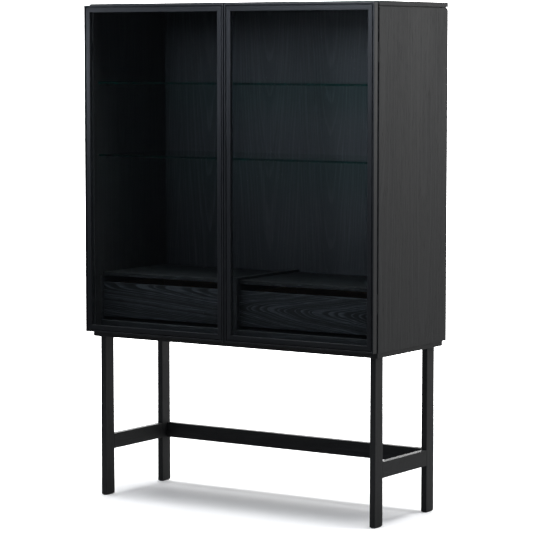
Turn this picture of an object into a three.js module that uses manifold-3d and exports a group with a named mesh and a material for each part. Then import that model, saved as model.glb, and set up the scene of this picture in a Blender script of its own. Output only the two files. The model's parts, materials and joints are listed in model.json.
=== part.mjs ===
// Glass-fronted apothecary cabinet on a leg frame: a wooden case with two framed glass doors, two glass
// shelves and two drawers side by side in a bay at the bottom.
// Millimetres. +Z is up, the doors face -Y, and the origin is on the floor under the middle of the cabinet.

import * as THREE from "three";
import { mergeVertices } from "three/addons/utils/BufferGeometryUtils.js";
import Module from "manifold-3d";

const wasm = await Module();
wasm.setup();

// ---------------------------------------------------------------------------------------------------
// Driving dimensions

// Overall
const width = 1100; // across both doors
const depth = 450; // from the door faces to the rear edges of the case
const restGap = 0.3; // between pieces that lie against each other

// Leg frame
const legHeight = 530;
const legThickness = 20; // seen from the front
const legDepth = 45; // seen from the side
const legSideInset = 22; // from the case side to the leg
const legFrontInset = 22; // from the case's front edge to the leg
const legRearInset = 37; // from the case's rear edge to the leg
const stretcherHeight = 50;
const stretcherThickness = 20;
const stretcherLift = 151; // from the floor to the underside of the stretchers

// Base board
const baseThickness = 16;
const baseSideInset = 5;
const baseFrontInset = 5;
const baseRearInset = 15;

// Case
const sideHeight = 1053;
const sideThickness = 18;
const topThickness = 15;
const shadowGap = 3; // between the case sides and the top board
const tongueInset = 6; // from a side's outer face to the tongue that carries the top board
const cornerRadius = 8; // of a side's upper rear corner
const floorThickness = 18;
const backThickness = 8;
const backInset = 16; // from the rear edges of the sides to the back panel
const backGrooveDepth = 6;

// Doors
const doorThickness = 22;
const doorGap = 8; // between a door and the case
const meetingGap = 4; // between the two doors
const doorTopReveal = 5; // from the top of the top board down to the doors
const doorBottomReveal = 2; // from the underside of the case up to the doors
const frameWidth = 23;
const lipWidth = 5;
const grooveWidth = 3;
const grooveDepth = 4;
const bandDrop = 1; // from the lip's face to the band's face
const rebateWidth = 8; // the pane's seat behind the band
const paneRecess = 7; // from the lip's face to the pane
const paneThickness = 4;
const paneClearance = 0.5; // from the pane's edges to the rebate
const rearChamfer = 1.5; // on the outer rear edge of a door
const mitreGap = 0.2;

// Door hinges
const hingeLength = 60;
const hingeEndDistance = 120; // from the door's end to the hinge
const hingeAxisInset = 3.5; // from the door's outer edge to the axis
const knuckleCount = 5;
const knuckleClearance = 0.8; // from the knuckles to the door and to the case
const knuckleEndGap = 0.4;
const pinRadius = 1.5;
const pinClearance = 0.2;
const leafThickness = 1.6;
const leafEdge = 1; // from the leaf to the edge of the rebate

// Magnetic catches
const catchWidth = 12;
const catchDepth = 22;
const catchHeight = 28;
const catchInset = 1.5; // from the door's meeting edge to the catch
const strikeThickness = 1.2;
const strikeClearance = 0.6; // from the strike plate to the catch

// Glass shelves
const shelfThickness = 6;
const shelfFrontInset = 20; // from the case's front edge
const shelfEndClearance = 1.5;
const shelfRearClearance = 2;
const lowerShelfClear = 382; // from the drawer bay's deck
const upperShelfClear = 230.5; // from the lower shelf

// Drawer bay
const bayInset = 30; // from the case's front edge to the divider, the liners and the bay floor
const dividerThickness = 18;
const dividerRise = 8; // above the deck
const bayFloorThickness = 18;
const linerThickness = 3;
const deckThickness = 12;
const deckSetback = 12; // from the divider's front edge to the deck and the drawer fronts

// Drawers
const drawerFrontHeight = 113;
const drawerFrontThickness = 16;
const drawerLift = 12; // from the bay floor to the drawer fronts
const fingerGap = 21; // from the drawer fronts to the deck
const drawerFrontInnerGap = 2; // from the divider to a drawer front
const drawerFrontOuterGap = 1; // from a liner to a drawer front
const drawerSideThickness = 14;
const drawerSideGap = 3; // from a drawer side to the divider or the liner
const drawerSideLift = 4; // from the underside of the front to the sides
const drawerSideDrop = 7; // from the top of the front to the sides
const drawerRearClearance = 26; // from the back panel to the drawer
const drawerBackThickness = 12;
const drawerBackInset = 2;
const drawerBottomThickness = 6;
const drawerBottomLift = 6; // from the underside of the sides to the bottom panel
const bottomGrooveDepth = 5;
const frontGrooveDepth = 6;
const grooveClearance = 0.3;

// Drawer runners
const runnerWidth = 8;
const runnerHeight = 14;
const runnerClearance = 1; // above and below a runner in its groove
const runnerSideClearance = 0.7; // from a runner to the bottom of its groove
const runnerFrontGap = 2; // from the drawer front to the runner

// ---------------------------------------------------------------------------------------------------
// Levels and planes that follow from them

const outer = width / 2;
const front = -depth / 2;
const rear = depth / 2;

const baseTop = legHeight + baseThickness;
const sideTop = baseTop + sideHeight;
const topUnderside = sideTop + shadowGap;
const topFace = topUnderside + topThickness;

const caseFront = front + doorThickness + doorGap;
const inner = outer - sideThickness;
const backFace = rear - backInset - backThickness;

const doorOuter = outer;
const doorInner = meetingGap / 2;
const doorBottom = baseTop + doorBottomReveal;
const doorTop = topFace - doorTopReveal;
const doorWidth = doorOuter - doorInner;
const doorHeight = doorTop - doorBottom;
const doorRear = front + doorThickness;

const floorTop = baseTop + floorThickness;
const bayFloorTop = floorTop + restGap + bayFloorThickness;
const drawerBottomEdge = bayFloorTop + drawerLift;
const drawerTopEdge = drawerBottomEdge + drawerFrontHeight;
const deckUnderside = drawerTopEdge + fingerGap;
const deckTop = deckUnderside + deckThickness;
const lowerShelfUnderside = deckTop + lowerShelfClear;
const upperShelfUnderside = lowerShelfUnderside + shelfThickness + upperShelfClear;

const bayFront = caseFront + bayInset;
const dividerFace = dividerThickness / 2;
const linerFace = inner - restGap - linerThickness;
const boardRear = backFace - restGap; // rear edge of the boards that meet the back panel

// ---------------------------------------------------------------------------------------------------
// Finishes

const stainedWood = { color: 0x3a3c3d, roughness: 0.55, metalness: 0 };
const stainedWoodDark = { color: 0x24272a, roughness: 0.6, metalness: 0 };
const bareWood = { color: 0x6f6250, roughness: 0.7, metalness: 0 };
const clearGlass = { color: 0xdfe8e6, roughness: 0.05, metalness: 0, transparent: true, opacity: 0.3 };
const greenGlass = { color: 0x5f8f80, roughness: 0.05, metalness: 0, transparent: true, opacity: 0.45 };
const blackSteel = { color: 0x1c1d1e, roughness: 0.4, metalness: 0.8 };
const zincSteel = { color: 0xa7a9aa, roughness: 0.35, metalness: 1 };
const blackPlastic = { color: 0x1a1a1b, roughness: 0.6, metalness: 0 };

// ---------------------------------------------------------------------------------------------------
// Makers of meshes and solids

/** A named piece with its own material. */
function piece(name, finish, geometry) {
  const mesh = new THREE.Mesh(geometry, new THREE.MeshStandardMaterial(finish));
  mesh.name = name;
  return mesh;
}

/** A box between a low and a high value on each axis, centred on its own origin. */
function boxGeometry(x, y, z) {
  return new THREE.BoxGeometry(x[1] - x[0], y[1] - y[0], z[1] - z[0]);
}

function middle(range) {
  return (range[0] + range[1]) / 2;
}

/** A straight board that fills a range on each axis. */
function board(name, finish, x, y, z) {
  const mesh = piece(name, finish, boxGeometry(x, y, z));
  mesh.position.set(middle(x), middle(y), middle(z));
  return mesh;
}

/** The closed outline through some points, extruded along +Z. */
function prismGeometry(points, length) {
  const shape = new THREE.Shape(points.map(([x, y]) => new THREE.Vector2(x, y)));
  return new THREE.ExtrudeGeometry(shape, { depth: length, bevelEnabled: false });
}

/** The closed geometry as a solid that can be joined and cut. */
function solidOf(geometry) {
  const bare = geometry.clone();
  bare.deleteAttribute("normal");
  bare.deleteAttribute("uv");
  const merged = mergeVertices(bare);
  const mesh = new wasm.Mesh({
    numProp: 3,
    vertProperties: merged.attributes.position.array,
    triVerts: new Uint32Array(merged.index.array),
  });
  return new wasm.Manifold(mesh);
}

/** The box between a low and a high value on each axis as a solid. */
function boxSolid(x, y, z) {
  return solidOf(boxGeometry(x, y, z).translate(middle(x), middle(y), middle(z)));
}

/** An upright cylinder round the Z axis between two heights as a solid. */
function rodSolid(radius, z) {
  const segments = 24;
  const geometry = new THREE.CylinderGeometry(radius, radius, z[1] - z[0], segments);
  return solidOf(geometry.rotateX(Math.PI / 2).translate(0, 0, middle(z)));
}

/** A solid's faces as a geometry that three.js draws. */
function geometryOf(solid) {
  const mesh = solid.getMesh();
  const geometry = new THREE.BufferGeometry();
  geometry.setAttribute("position", new THREE.BufferAttribute(mesh.vertProperties, 3));
  geometry.setIndex(new THREE.BufferAttribute(mesh.triVerts, 1));
  geometry.computeVertexNormals();
  return geometry;
}

// ---------------------------------------------------------------------------------------------------
// Leg frame

/** One side of the leg frame: two legs and the stretcher between them. */
function legPair(side) {
  const group = new THREE.Group();
  const legOuter = outer - legSideInset;
  const x = [legOuter - legThickness, legOuter];
  const frontLeg = [caseFront + legFrontInset, caseFront + legFrontInset + legDepth];
  const rearLeg = [rear - legRearInset - legDepth, rear - legRearInset];
  const legSpan = [0, legHeight - restGap];
  const stretcherX = [legOuter - stretcherThickness, legOuter];
  const stretcherY = [frontLeg[1] + restGap, rearLeg[0] - restGap];
  const stretcherZ = [stretcherLift, stretcherLift + stretcherHeight];
  group.add(board(`leg_front_${side}`, stainedWood, x, frontLeg, legSpan));
  group.add(board(`leg_rear_${side}`, stainedWood, x, rearLeg, legSpan));
  group.add(board(`stretcher_${side}`, stainedWood, stretcherX, stretcherY, stretcherZ));
  return group;
}

/** The long stretcher between the rear legs, flush with their rear faces. */
function rearStretcher() {
  const reach = outer - legSideInset - legThickness - restGap;
  const legRear = rear - legRearInset;
  const y = [legRear - stretcherThickness, legRear];
  const z = [stretcherLift, stretcherLift + stretcherHeight];
  return board("stretcher_rear", stainedWood, [-reach, reach], y, z);
}

function baseBoard() {
  const reach = outer - baseSideInset;
  const y = [caseFront + baseFrontInset, rear - baseRearInset];
  return board("base_board", stainedWood, [-reach, reach], y, [legHeight, baseTop - restGap]);
}

// ---------------------------------------------------------------------------------------------------
// Case

/** A case side: rounded at its upper rear corner, grooved for the back panel, with a tongue on top. */
function caseSide(side) {
  const cornerSegments = 6;
  const outline = new THREE.Shape();
  outline.moveTo(caseFront, baseTop);
  outline.lineTo(rear, baseTop);
  outline.lineTo(rear, sideTop - cornerRadius);
  outline.absarc(rear - cornerRadius, sideTop - cornerRadius, cornerRadius, 0, Math.PI / 2, false);
  outline.lineTo(caseFront, sideTop);
  const slab = new THREE.ExtrudeGeometry(outline, {
    depth: sideThickness,
    bevelEnabled: false,
    curveSegments: cornerSegments,
  });
  // The outline is drawn in Y and Z, and its thickness runs along X.
  const upright = new THREE.Matrix4().makeBasis(
    new THREE.Vector3(0, 1, 0),
    new THREE.Vector3(0, 0, 1),
    new THREE.Vector3(1, 0, 0),
  );
  slab.applyMatrix4(upright).translate(inner, 0, 0);
  const tongue = boxSolid(
    [inner, outer - tongueInset],
    [caseFront + tongueInset, rear - cornerRadius - tongueInset],
    [sideTop - shadowGap, topUnderside - restGap],
  );
  const groove = boxSolid(
    [inner - sideThickness, inner + backGrooveDepth],
    [backFace - restGap, backFace + backThickness + restGap],
    [baseTop - floorThickness, topFace],
  );
  const solid = solidOf(slab).add(tongue).subtract(groove);
  return piece(`case_side_${side}`, stainedWood, geometryOf(solid));
}

/** The boards of the case that run from side to side. */
function caseBoards() {
  const group = new THREE.Group();
  const reach = inner - restGap;
  const backReach = inner + backGrooveDepth - restGap;
  const backY = [backFace, backFace + backThickness];
  group.add(board("top_board", stainedWood, [-outer, outer], [caseFront, rear], [topUnderside, topFace]));
  group.add(board("case_floor", stainedWood, [-reach, reach], [caseFront, boardRear], [baseTop, floorTop]));
  group.add(
    board("back_panel", stainedWoodDark, [-backReach, backReach], backY, [baseTop, topUnderside - restGap]),
  );
  return group;
}

function glassShelf(name, underside) {
  const reach = inner - shelfEndClearance;
  const y = [caseFront + shelfFrontInset, backFace - shelfRearClearance];
  return board(name, greenGlass, [-reach, reach], y, [underside, underside + shelfThickness]);
}

// ---------------------------------------------------------------------------------------------------
// Doors

/** Section of a door frame member: x from its outer edge inwards, y from its face backwards. */
function frameSection() {
  const bandStart = lipWidth + grooveWidth;
  const seatStart = frameWidth - rebateWidth;
  return [
    [0, 0],
    [lipWidth, 0],
    [lipWidth, grooveDepth],
    [bandStart, grooveDepth],
    [bandStart, bandDrop],
    [frameWidth, bandDrop],
    [frameWidth, paneRecess],
    [seatStart, paneRecess],
    [seatStart, doorThickness],
    [rearChamfer, doorThickness],
    [0, doorThickness - rearChamfer],
  ];
}

/** A frame member along +Z, with both ends cut to a mitre. */
function frameMember(length) {
  const geometry = prismGeometry(frameSection(), length);
  const position = geometry.attributes.position;
  for (let i = 0; i < position.count; i += 1) {
    const cut = position.getX(i) + mitreGap;
    const along = position.getZ(i) / length;
    position.setZ(i, cut + along * (length - 2 * cut));
  }
  return geometry;
}

/** The four members of a door frame, one after the other round the door, and the pane inside them. */
function door(side) {
  const group = new THREE.Group();
  const corners = [
    { name: "meeting_stile", x: doorInner, z: doorBottom, length: doorHeight },
    { name: "top_rail", x: doorInner, z: doorTop, length: doorWidth },
    { name: "hinge_stile", x: doorOuter, z: doorTop, length: doorHeight },
    { name: "bottom_rail", x: doorOuter, z: doorBottom, length: doorWidth },
  ];
  corners.forEach(({ name, x, z, length }, turn) => {
    const member = piece(`door_${side}_${name}`, stainedWoodDark, frameMember(length));
    member.position.set(x, front, z);
    member.rotation.y = (turn * Math.PI) / 2;
    group.add(member);
  });
  const seat = frameWidth - rebateWidth + paneClearance;
  const paneY = [front + paneRecess + restGap, front + paneRecess + restGap + paneThickness];
  group.add(
    board(
      `door_${side}_pane`,
      clearGlass,
      [doorInner + seat, doorOuter - seat],
      paneY,
      [doorBottom + seat, doorTop - seat],
    ),
  );
  return group;
}

/** Heights of a hinge's knuckles that belong to one leaf: every other one from the first or the second. */
function knuckleHeights(first) {
  const pitch = hingeLength / knuckleCount;
  const heights = [];
  for (let i = first; i < knuckleCount; i += 2) {
    heights.push([i * pitch + knuckleEndGap / 2, (i + 1) * pitch - knuckleEndGap / 2]);
  }
  return heights;
}

/**
 * A hinge leaf with its knuckles, drawn round the hinge's axis with its lower end at z 0. towards is 1 for the
 * leaf on the case, behind the axis, and -1 for the leaf on the door, in front of it.
 */
function leafSolid(firstKnuckle, towards) {
  const knuckleRadius = doorGap / 2 - knuckleClearance;
  const plateStart = -knuckleRadius - knuckleClearance;
  const plateEnd = hingeAxisInset - (frameWidth - rebateWidth - leafEdge);
  const far = towards * (doorGap / 2 - restGap);
  const near = far - towards * leafThickness;
  const y = [Math.min(far, near), Math.max(far, near)];
  const join = leafThickness / 2; // the plate's tabs reach this far past the plate's edge
  let solid = boxSolid([plateEnd, plateStart], y, [0, hingeLength]);
  for (const z of knuckleHeights(firstKnuckle)) {
    solid = solid.add(boxSolid([plateStart - join, 0], y, z)).add(rodSolid(knuckleRadius, z));
  }
  return solid;
}

/** The hinges of one door: each has a leaf on the case and a leaf with the pin on the door. */
function hinges(side) {
  const group = new THREE.Group();
  const pinBore = rodSolid(pinRadius + pinClearance, [-restGap, hingeLength + restGap]);
  const pin = rodSolid(pinRadius, [0, hingeLength]);
  const caseLeaf = leafSolid(0, 1).subtract(pinBore);
  const doorLeaf = leafSolid(1, -1).add(pin);
  const heights = {
    upper: doorTop - hingeEndDistance - hingeLength,
    lower: doorBottom + hingeEndDistance,
  };
  for (const [level, z] of Object.entries(heights)) {
    const hinge = new THREE.Group();
    hinge.position.set(outer - hingeAxisInset, doorRear + doorGap / 2, z);
    hinge.add(piece(`hinge_${side}_${level}_case_leaf`, blackSteel, geometryOf(caseLeaf)));
    hinge.add(piece(`hinge_${side}_${level}_door_leaf`, blackSteel, geometryOf(doorLeaf)));
    group.add(hinge);
  }
  return group;
}

/** The magnetic catch under the top board and the strike plate that it holds on the meeting stile. */
function doorCatch(side) {
  const group = new THREE.Group();
  const x = [doorInner + catchInset, doorInner + catchInset + catchWidth];
  const strikeY = [doorRear + restGap, doorRear + restGap + strikeThickness];
  const catchFront = strikeY[1] + strikeClearance;
  const z = [topUnderside - restGap - catchHeight, topUnderside - restGap];
  group.add(board(`catch_${side}`, blackPlastic, x, [catchFront, catchFront + catchDepth], z));
  group.add(board(`strike_plate_${side}`, zincSteel, x, strikeY, z));
  return group;
}

// ---------------------------------------------------------------------------------------------------
// Drawer bay and drawers

function divider() {
  const z = [floorTop + restGap, deckTop + dividerRise];
  return board("bay_divider", stainedWoodDark, [-dividerFace, dividerFace], [bayFront, boardRear], z);
}

/** One half of the drawer bay: its floor, its deck and the liner on the case side. */
function bayHalf(side) {
  const group = new THREE.Group();
  const x = [dividerFace + restGap, inner - restGap];
  const bayY = [bayFront, boardRear];
  const deckY = [bayFront + deckSetback, boardRear];
  const linerZ = [bayFloorTop + restGap, deckUnderside - restGap];
  group.add(board(`bay_floor_${side}`, stainedWoodDark, x, bayY, [floorTop + restGap, bayFloorTop]));
  group.add(board(`bay_deck_${side}`, stainedWoodDark, x, deckY, [deckUnderside, deckTop]));
  group.add(board(`bay_liner_${side}`, stainedWoodDark, [linerFace, linerFace + linerThickness], bayY, linerZ));
  return group;
}

/** Where the pieces of a drawer are: shared by its sides, bottom, back and runners. */
function drawerPlan() {
  const frontY = bayFront + deckSetback;
  const sideZ = [drawerBottomEdge + drawerSideLift, drawerTopEdge - drawerSideDrop];
  return {
    frontX: [dividerFace + drawerFrontInnerGap, linerFace - drawerFrontOuterGap],
    frontY: [frontY, frontY + drawerFrontThickness],
    innerSide: dividerFace + drawerSideGap,
    outerSide: linerFace - drawerSideGap,
    sideY: [frontY + drawerFrontThickness + restGap, backFace - drawerRearClearance],
    sideZ,
    runnerZ: [middle(sideZ) - runnerHeight / 2, middle(sideZ) + runnerHeight / 2],
    bottomZ: [sideZ[0] + drawerBottomLift, sideZ[0] + drawerBottomLift + drawerBottomThickness],
  };
}

/** A drawer front, grooved along its rear face for the bottom panel. */
function drawerFront(side, plan) {
  const [face, back] = plan.frontY;
  const [grooveLow, grooveHigh] = [plan.bottomZ[0] - grooveClearance, plan.bottomZ[1] + grooveClearance];
  const section = [
    [face, drawerBottomEdge],
    [back, drawerBottomEdge],
    [back, grooveLow],
    [back - frontGrooveDepth, grooveLow],
    [back - frontGrooveDepth, grooveHigh],
    [back, grooveHigh],
    [back, drawerTopEdge],
    [face, drawerTopEdge],
  ];
  const geometry = prismGeometry(section, plan.frontX[1] - plan.frontX[0]);
  // The section is drawn in Y and Z, and its length runs along X.
  const along = new THREE.Matrix4().makeBasis(
    new THREE.Vector3(0, 1, 0),
    new THREE.Vector3(0, 0, 1),
    new THREE.Vector3(1, 0, 0),
  );
  const mesh = piece(`drawer_${side}_front`, stainedWood, geometry.applyMatrix4(along));
  mesh.position.x = plan.frontX[0];
  return mesh;
}

/**
 * A drawer side with a groove outside for its runner and a groove inside for the bottom panel. inwards is the
 * direction along X from the side's outer face to the drawer's inside.
 */
function drawerSide(name, plan, outerFace, inwards) {
  const runnerReach = runnerWidth + restGap + runnerSideClearance - drawerSideGap;
  const innerFace = outerFace + inwards * drawerSideThickness;
  const runnerGroove = outerFace + inwards * runnerReach;
  const bottomGroove = innerFace - inwards * bottomGrooveDepth;
  const section = [
    [outerFace, plan.sideZ[0]],
    [innerFace, plan.sideZ[0]],
    [innerFace, plan.bottomZ[0] - grooveClearance],
    [bottomGroove, plan.bottomZ[0] - grooveClearance],
    [bottomGroove, plan.bottomZ[1] + grooveClearance],
    [innerFace, plan.bottomZ[1] + grooveClearance],
    [innerFace, plan.sideZ[1]],
    [outerFace, plan.sideZ[1]],
    [outerFace, plan.runnerZ[1] + runnerClearance],
    [runnerGroove, plan.runnerZ[1] + runnerClearance],
    [runnerGroove, plan.runnerZ[0] - runnerClearance],
    [outerFace, plan.runnerZ[0] - runnerClearance],
  ];
  const mesh = piece(name, bareWood, prismGeometry(section, plan.sideY[1] - plan.sideY[0]));
  mesh.rotation.x = Math.PI / 2; // the section stands upright and its length runs forwards
  mesh.position.y = plan.sideY[1];
  return mesh;
}

/** A drawer: front, two sides, back, and a bottom panel held in their grooves. */
function drawer(side) {
  const group = new THREE.Group();
  const plan = drawerPlan();
  const boxX = [plan.innerSide + drawerSideThickness, plan.outerSide - drawerSideThickness];
  const backX = [boxX[0] + restGap, boxX[1] - restGap];
  const backRear = plan.sideY[1] - drawerBackInset;
  const backZ = [plan.bottomZ[1] + restGap, plan.sideZ[1]];
  const tuck = bottomGrooveDepth - grooveClearance;
  const bottomX = [boxX[0] - tuck, boxX[1] + tuck];
  const bottomY = [plan.frontY[1] - frontGrooveDepth + grooveClearance, plan.sideY[1]];
  group.add(drawerFront(side, plan));
  group.add(drawerSide(`drawer_${side}_inner_side`, plan, plan.innerSide, 1));
  group.add(drawerSide(`drawer_${side}_outer_side`, plan, plan.outerSide, -1));
  group.add(board(`drawer_${side}_back`, bareWood, backX, [backRear - drawerBackThickness, backRear], backZ));
  group.add(board(`drawer_${side}_bottom`, bareWood, bottomX, bottomY, plan.bottomZ));
  return group;
}

/** The runners of one drawer, on the divider and on the liner. */
function runners(side) {
  const group = new THREE.Group();
  const plan = drawerPlan();
  const y = [plan.frontY[1] + runnerFrontGap, plan.sideY[1]];
  const innerX = [dividerFace + restGap, dividerFace + restGap + runnerWidth];
  const outerX = [linerFace - restGap - runnerWidth, linerFace - restGap];
  group.add(board(`runner_${side}_inner`, bareWood, innerX, y, plan.runnerZ));
  group.add(board(`runner_${side}_outer`, bareWood, outerX, y, plan.runnerZ));
  return group;
}

// ---------------------------------------------------------------------------------------------------
// The cabinet

const cabinet = new THREE.Group();
cabinet.add(rearStretcher());
cabinet.add(baseBoard());
cabinet.add(caseBoards());
cabinet.add(divider());
cabinet.add(glassShelf("glass_shelf_lower", lowerShelfUnderside));
cabinet.add(glassShelf("glass_shelf_upper", upperShelfUnderside));

// The right half is drawn, and the left half is its mirror image.
for (const [side, hand] of [["right", 1], ["left", -1]]) {
  const half = new THREE.Group();
  half.scale.x = hand;
  half.add(legPair(side));
  half.add(caseSide(side));
  half.add(door(side));
  half.add(hinges(side));
  half.add(doorCatch(side));
  half.add(bayHalf(side));
  half.add(drawer(side));
  half.add(runners(side));
  cabinet.add(half);
}

export default cabinet;
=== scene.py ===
"""Finishes a glass-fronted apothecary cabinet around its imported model.

Every piece is modelled between the corners of the part that it stands for, in metres, with +Z up and the
doors on the -Y side. Boards get eased edges and a grain that runs along them, the doors their moulded and
mitred frames, and the hardware its screws.
"""

import json
import math
import random

import bmesh
import bpy
from bpy.props import FloatProperty, FloatVectorProperty, IntProperty, PointerProperty
from mathutils import Matrix, Vector


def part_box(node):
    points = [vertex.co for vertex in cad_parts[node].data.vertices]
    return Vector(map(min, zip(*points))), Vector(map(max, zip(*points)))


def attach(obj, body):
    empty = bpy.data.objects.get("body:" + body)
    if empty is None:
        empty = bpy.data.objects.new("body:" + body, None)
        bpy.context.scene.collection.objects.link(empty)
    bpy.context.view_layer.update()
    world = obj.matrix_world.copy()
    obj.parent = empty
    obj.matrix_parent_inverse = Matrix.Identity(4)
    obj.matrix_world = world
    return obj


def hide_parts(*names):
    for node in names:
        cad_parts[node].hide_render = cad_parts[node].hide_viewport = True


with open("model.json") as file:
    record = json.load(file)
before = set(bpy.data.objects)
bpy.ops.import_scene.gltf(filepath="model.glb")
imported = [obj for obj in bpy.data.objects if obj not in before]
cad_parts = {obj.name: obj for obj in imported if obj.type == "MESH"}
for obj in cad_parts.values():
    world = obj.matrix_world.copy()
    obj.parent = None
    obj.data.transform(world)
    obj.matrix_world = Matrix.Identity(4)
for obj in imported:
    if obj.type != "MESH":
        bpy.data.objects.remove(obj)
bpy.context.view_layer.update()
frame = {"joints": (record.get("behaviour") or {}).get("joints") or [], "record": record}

bl_info = {
    "name": "Apothecary Cabinet",
    "version": (1, 0, 0),
    "blender": (4, 5, 0),
    "location": "View3D > Sidebar > Cabinet",
    "description": "Finishes a glass-fronted cabinet on a leg frame, one group of pieces at a time",
    "category": "Object",
}

RECORD = frame["record"]
BODY_OF = {node: body for body, nodes in RECORD["behaviour"]["bodies"].items() for node in nodes}
SLOT_OF = {part["node"]: part["material_slot"] for part in RECORD["subparts"]}
JOINTS = {joint["name"]: joint for joint in frame["joints"]}
SIDES = (("left", -1), ("right", 1))
X, Y, Z = range(3)
CLOSE = 1e-6  # two places nearer than this are the same
SCREW_RISE = 0.26  # of a screw head, for a radius of 1


# ----------------------------------------
# What a user would change


def length(name, description, default):
    """A small size, in metres."""
    return FloatProperty(
        name=name, description=description, default=default, min=0, unit="LENGTH", precision=5
    )


def angle(name, description, degrees):
    return FloatProperty(name=name, description=description, default=math.radians(degrees), subtype="ANGLE")


def strength(name, description, default):
    """How strong a light is, or how bright a wall."""
    return FloatProperty(name=name, description=description, default=default, min=0)


def colour(name, description, default):
    return FloatVectorProperty(
        name=name, description=description, default=default, min=0, max=1, size=3, subtype="COLOR"
    )


class CabinetEdges(bpy.types.PropertyGroup):
    """Edges that a maker eases, and the play that is left between pieces."""

    board: length("Board edges", "Radius of the eased edges of the stained boards", 0.0010)
    frame: length("Frame edges", "Radius of the eased edges of the door frames", 0.0009)
    glass: length("Glass edges", "Width of the ground edges of the glass", 0.0008)
    metal: length("Metal edges", "Radius of the edges of plates and catches", 0.0003)
    segments: IntProperty(name="Segments", description="Steps across an eased edge", default=3, min=1, max=8)
    play: length("Play", "Gap between a piece and what it is fitted into", 0.0003)


class CabinetDoor(bpy.types.PropertyGroup):
    """Section of the door frames, from the outer edge inwards and from the face backwards."""

    lip: length("Lip", "Width of the raised outer lip", 0.005)
    groove: length("Groove", "Width of the groove behind the lip", 0.003)
    groove_depth: length("Groove depth", "Depth of the groove", 0.007)
    band_drop: length("Band drop", "From the lip's face down to the band's face", 0.001)
    rebate: length("Rebate", "Width of the pane's seat", 0.008)
    recess: length("Pane recess", "From the lip's face to the pane's seat", 0.007)
    chamfer: length("Rear chamfer", "Chamfer on the outer rear edge", 0.0015)
    mitre: length("Mitre gap", "From the end of a member to the mitre's middle", 0.0001)
    bead: length("Bead", "Depth of the glazing beads behind the panes", 0.0065)
    bead_round: length("Bead rounding", "Radius of the beads' inner rear edges", 0.003)


class CabinetHardware(bpy.types.PropertyGroup):
    """Hinges, catches, shelf supports, screws and glides."""

    leaf: length("Hinge leaf", "Thickness of a hinge leaf", 0.0016)
    pin: length("Hinge pin", "Radius of the hinge pins", 0.0015)
    knuckles: IntProperty(name="Knuckles", description="Knuckles of a hinge", default=5, min=3, max=9)
    screw: length("Screws", "Radius of the larger screw heads", 0.0032)
    small_screw: length("Small screws", "Radius of the screw heads on hinges and plates", 0.0021)
    glide: length("Glides", "Height of the glides under the legs", 0.0025)
    glide_inset: length("Glide inset", "From a leg's sides to its glide", 0.0025)
    buffer: length("Door buffers", "Radius of the rubber buffers behind the doors", 0.004)
    support: length("Shelf supports", "How far a support reaches under a glass shelf", 0.009)


class CabinetColours(bpy.types.PropertyGroup):
    """Colours of the finishes."""

    stain: colour("Stain", "Black stain on the case and the legs", (0.0175, 0.0182, 0.0186))
    stain_light: colour("Stain, light grain", "Grain that the stain leaves lighter", (0.032, 0.033, 0.034))
    inside: colour("Inside", "Black stain on the boards behind the glass", (0.0122, 0.0140, 0.0155))
    inside_light: colour("Inside, light grain", "Lighter grain of the inner boards", (0.030, 0.034, 0.038))
    # The decks' two colours are the inside stain at about half its brightness: painted shade on the decks.
    deck: colour("Decks", "Deeper stain on the decks over the drawers", (0.0055, 0.0063, 0.0070))
    deck_light: colour("Decks, light grain", "Lighter grain of the decks", (0.015, 0.017, 0.019))
    front: colour("Drawer fronts", "Black stain on the drawer fronts", (0.0062, 0.0072, 0.0082))
    front_light: colour("Drawer fronts, light grain", "Brushed grain of the fronts", (0.054, 0.061, 0.068))
    door: colour("Door frames", "Semi-gloss stain of the door frames", (0.0120, 0.0135, 0.0155))
    timber: colour("Bare timber", "Oiled wood of the drawer boxes", (0.30, 0.19, 0.10))
    timber_dark: colour("Bare timber, dark grain", "Dark grain of the oiled wood", (0.17, 0.095, 0.045))
    pane: colour("Panes", "Tint of the door glass", (0.94, 0.965, 0.97))
    shelf: colour("Glass shelves", "Tint of the shelf glass", (0.90, 0.97, 0.95))
    floor: colour("Floor", "Pale studio floor", (0.95, 0.95, 0.95))


class CabinetStudio(bpy.types.PropertyGroup):
    """Camera and lights."""

    camera_place: FloatVectorProperty(
        name="Camera", description="Where the camera stands", default=(4.392, -6.592, 1.4747), unit="LENGTH"
    )
    camera_turn: angle("Turn", "Camera's turn from facing +Y", 33.6)
    camera_tilt: angle("Tilt", "Camera's tilt below the horizon", 5.07)
    lens: FloatProperty(name="Lens", description="Focal length in millimetres", default=166.5, min=1)
    overhead: strength("Overhead", "Power of the overhead softbox", 400)
    front: strength("Front", "Power of the softbox high in front", 4.0)
    side: strength("Side", "Power of the small softbox on the left", 0.6)
    rear: strength("Rear", "Power of the softbox behind on the right", 10)
    backdrop: strength("Backdrop", "Brightness of the studio behind", 0.30)
    ceiling: strength("Ceiling", "Brightness of the studio overhead", 1.0)
    wall: strength("Wall", "Brightness of the wall right behind the cabinet", 5.0)
    room: strength("Room", "Brightness of the studio in front", 0.15)
    cloth: strength("Cloth", "Brightness of what the panes mirror", 0.015)


# ----------------------------------------
# Shader nodes


def feed(tree, socket, value):
    """Links a socket to a node's output, or sets it to a plain value."""
    if isinstance(value, bpy.types.NodeSocket):
        tree.links.new(value, socket)
    else:
        socket.default_value = value


def add_node(tree, kind, inputs=(), **settings):
    """A node with its settings and its inputs, which go by name or by number."""
    node = tree.nodes.new(kind)
    for setting, value in settings.items():
        setattr(node, setting, value)
    for socket, value in dict(inputs).items():
        feed(tree, node.inputs[socket], value)
    return node


def maths(tree, operation, *values):
    return add_node(tree, "ShaderNodeMath", enumerate(values), operation=operation).outputs[0]


def stretched(tree, vector, scale):
    """A vector multiplied by a scale for each axis."""
    return add_node(tree, "ShaderNodeVectorMath", {0: vector, 1: scale}, operation="MULTIPLY").outputs[0]


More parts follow.
